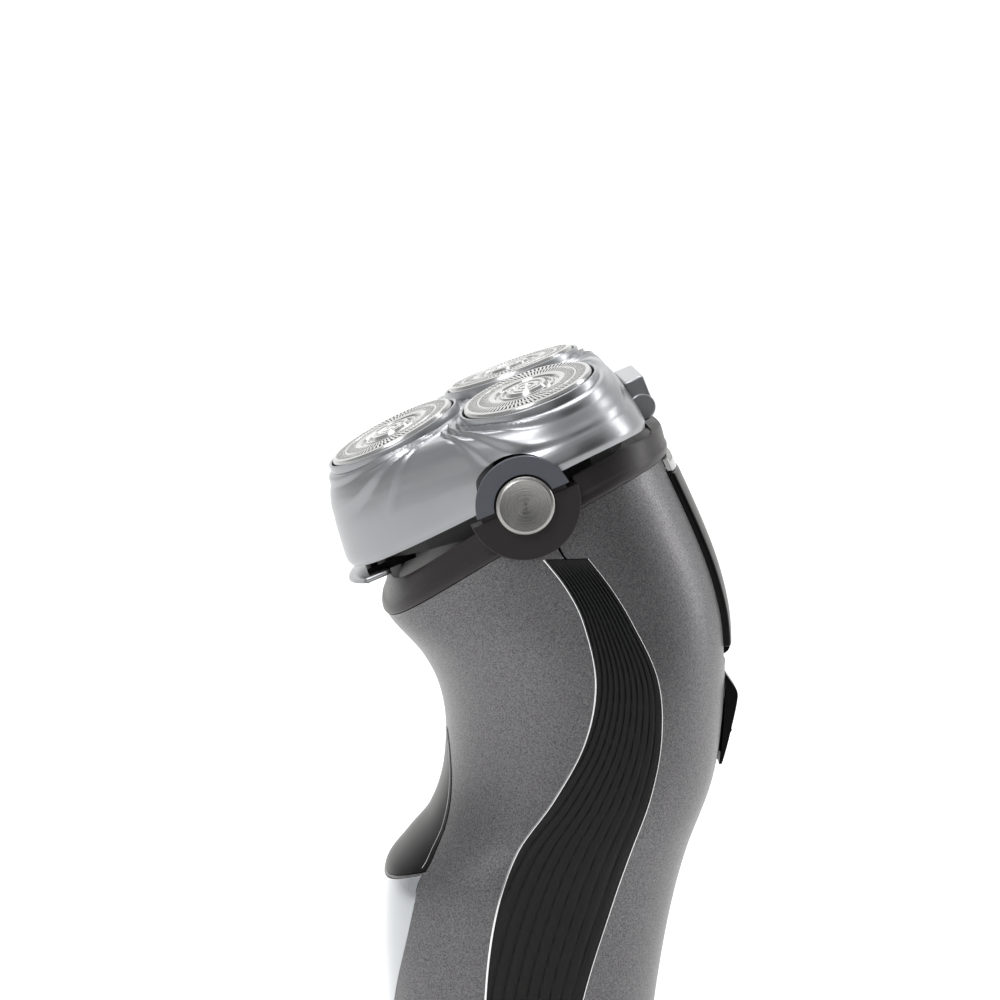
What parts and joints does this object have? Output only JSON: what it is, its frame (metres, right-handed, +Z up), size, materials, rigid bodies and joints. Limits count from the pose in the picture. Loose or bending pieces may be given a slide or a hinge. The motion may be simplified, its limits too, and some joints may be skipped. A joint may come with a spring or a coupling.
{
  "type": "electric shaver",
  "caption": "Cordless rotary shaver: S-curved handle with rubber side grips, tilting three-lobed head with floating round guards, thumb button and pop-out rear trimmer.",
  "frame": {"origin": "on the flat foot, under the middle of the whole object's box", "axes": "+Z up the handle to the head, +X to the rear (trimmer side), -X to the thumb side, +Y across"},
  "size_m": [0.0688, 0.0602, 0.1556],
  "materials": {
    "black_gloss": "gloss",
    "black_plastic": "matt moulded",
    "blade_steel": "polished",
    "board": "solder mask",
    "brass": "plated",
    "cell_wrap": "shrink sleeve",
    "collar_plastic": "satin moulded",
    "grey_paint": "satin metallic lacquer",
    "rubber": "matt",
    "silver_lacquer": "satin silver",
    "steel": "machined",
    "turned_aluminium": "turned",
    "white_plastic": "acetal",
    "window_plastic": "gloss"
  },
  "bodies": {
    "handle": {"front_housing": "grey_paint", "rear_housing": "grey_paint", "foot_cap": "black_plastic", "collar": "collar_plastic", "grip_left": "rubber", "grip_right": "rubber", "pivot_pin_left": "steel", "pivot_pin_right": "steel", "pivot_cap_left": "turned_aluminium", "pivot_cap_right": "turned_aluminium", "display_window": "window_plastic", "charging_inlet": "black_plastic", "inlet_pin_left": "brass", "inlet_pin_right": "brass", "chassis": "black_plastic", "cell_left": "cell_wrap", "cell_right": "cell_wrap", "circuit_board": "board", "power_switch": "black_plastic", "motor": "steel", "motor_clamp": "black_plastic", "trimmer_bay": "black_plastic", "trimmer_pin": "steel"},
    "rotor": {"motor_shaft": "steel", "drive_cup": "white_plastic"},
    "head": {"head_base": "black_plastic", "gear_plate": "black_plastic", "hinge_pin": "steel"},
    "drive_gear": {"drive_gear": "white_plastic"},
    "release_button": {"release_button": "silver_lacquer"},
    "cover": {"head_cover": "silver_lacquer", "retaining_frame": "black_plastic"},
    "frame_knob": {"frame_knob": "black_plastic"},
    "power_button": {"power_button": "black_gloss"},
    "trimmer": {"trimmer_arm": "black_gloss", "trimmer_comb": "blade_steel"},
    "trimmer_blade": {"trimmer_blade": "blade_steel"},
    "trimmer_slide": {"trimmer_slide": "black_gloss"},
    "spindle_front": {"gear_front": "white_plastic", "spindle_front": "steel"},
    "guard_front": {"guard_front": "blade_steel"},
    "cutter_front": {"cutter_front": "blade_steel"},
    "spindle_left": {"gear_left": "white_plastic", "spindle_left": "steel"},
    "guard_left": {"guard_left": "blade_steel"},
    "cutter_left": {"cutter_left": "blade_steel"},
    "spindle_right": {"gear_right": "white_plastic", "spindle_right": "steel"},
    "guard_right": {"guard_right": "blade_steel"},
    "cutter_right": {"cutter_right": "blade_steel"}
  },
  "joints": [
    {"name": "head_tilt", "type": "hinge", "parent": "handle", "child": "head", "pos_m": [-0.0049, 0, 0.1351], "axis": [0, 1, 0], "range_deg": [-3, 2], "stiffness_Nm_per_rad": 0.6},
    {"name": "motor_spin", "type": "hinge", "parent": "handle", "child": "rotor", "pos_m": [-0.00069, 0, 0.12601], "axis": [-0.3746, 0, 0.9272], "continuous": true},
    {"name": "drive_gear_spin", "type": "hinge", "parent": "head", "child": "drive_gear", "pos_m": [-0.00519, 0, 0.13714], "axis": [-0.3746, 0, 0.9272], "continuous": true},
    {"name": "cover_hinge", "type": "hinge", "parent": "head", "child": "cover", "pos_m": [0.01708, 0, 0.14743], "axis": [0, 1, 0], "range_deg": [0, 85]},
    {"name": "release_push", "type": "slide", "parent": "head", "child": "release_button", "axis": [0.9272, 0, 0.3746], "range_m": [0, 0.0008], "stiffness_N_per_m": 600},
    {"name": "knob_turn", "type": "hinge", "parent": "cover", "child": "frame_knob", "pos_m": [-0.00668, 0, 0.14085], "axis": [-0.3746, 0, 0.9272], "range_deg": [0, 90]},
    {"name": "power_push", "type": "slide", "parent": "handle", "child": "power_button", "axis": [1, 0, 0], "range_m": [0, 0.0007], "stiffness_N_per_m": 900},
    {"name": "trimmer_swing", "type": "hinge", "parent": "handle", "child": "trimmer", "pos_m": [0.0306, 0, 0.107], "axis": [0, 1, 0], "range_deg": [0, 60]},
    {"name": "trimmer_stroke", "type": "slide", "parent": "trimmer", "child": "trimmer_blade", "axis": [0, 1, 0], "range_m": [-0.0008, 0.0008], "stiffness_N_per_m": 300},
    {"name": "trimmer_release", "type": "slide", "parent": "handle", "child": "trimmer_slide", "axis": [0.0523, 0, 0.9986], "range_m": [0, 0.0018], "stiffness_N_per_m": 500},
    {"name": "spindle_front_spin", "type": "hinge", "parent": "head", "child": "spindle_front", "pos_m": [-0.01937, 0, 0.13141], "axis": [-0.3746, 0, 0.9272], "continuous": true},
    {"name": "guard_front_float", "type": "slide", "parent": "cover", "child": "guard_front", "axis": [0.454, 0, -0.891], "range_m": [0, 0.0009], "stiffness_N_per_m": 700},
    {"name": "cutter_front_spin", "type": "hinge", "parent": "guard_front", "child": "cutter_front", "pos_m": [-0.02424, 0, 0.14346], "axis": [-0.454, 0, 0.891], "continuous": true},
    {"name": "spindle_left_spin", "type": "hinge", "parent": "head", "child": "spindle_left", "pos_m": [0.00191, -0.01325, 0.14001], "axis": [-0.3746, 0, 0.9272], "continuous": true},
    {"name": "guard_left_float", "type": "slide", "parent": "cover", "child": "guard_left", "axis": [0.3328, 0.0755, -0.94], "range_m": [0, 0.0009], "stiffness_N_per_m": 700},
    {"name": "cutter_left_spin", "type": "hinge", "parent": "guard_left", "child": "cutter_left", "pos_m": [-0.00296, -0.01325, 0.15206], "axis": [-0.3328, -0.0755, 0.94], "continuous": true},
    {"name": "spindle_right_spin", "type": "hinge", "parent": "head", "child": "spindle_right", "pos_m": [0.00191, 0.01325, 0.14001], "axis": [-0.3746, 0, 0.9272], "continuous": true},
    {"name": "guard_right_float", "type": "slide", "parent": "cover", "child": "guard_right", "axis": [0.3328, -0.0755, -0.94], "range_m": [0, 0.0009], "stiffness_N_per_m": 700},
    {"name": "cutter_right_spin", "type": "hinge", "parent": "guard_right", "child": "cutter_right", "pos_m": [-0.00296, 0.01325, 0.15206], "axis": [-0.3328, 0.0755, 0.94], "continuous": true}
  ],
  "couplings": [
    {"joint": "drive_gear_spin", "follows": "motor_spin", "ratio": 1},
    {"joint": "spindle_front_spin", "follows": "motor_spin", "ratio": -1},
    {"joint": "cutter_front_spin", "follows": "motor_spin", "ratio": -1},
    {"joint": "spindle_left_spin", "follows": "motor_spin", "ratio": -1},
    {"joint": "cutter_left_spin", "follows": "motor_spin", "ratio": -1},
    {"joint": "spindle_right_spin", "follows": "motor_spin", "ratio": -1},
    {"joint": "cutter_right_spin", "follows": "motor_spin", "ratio": -1}
  ]
}
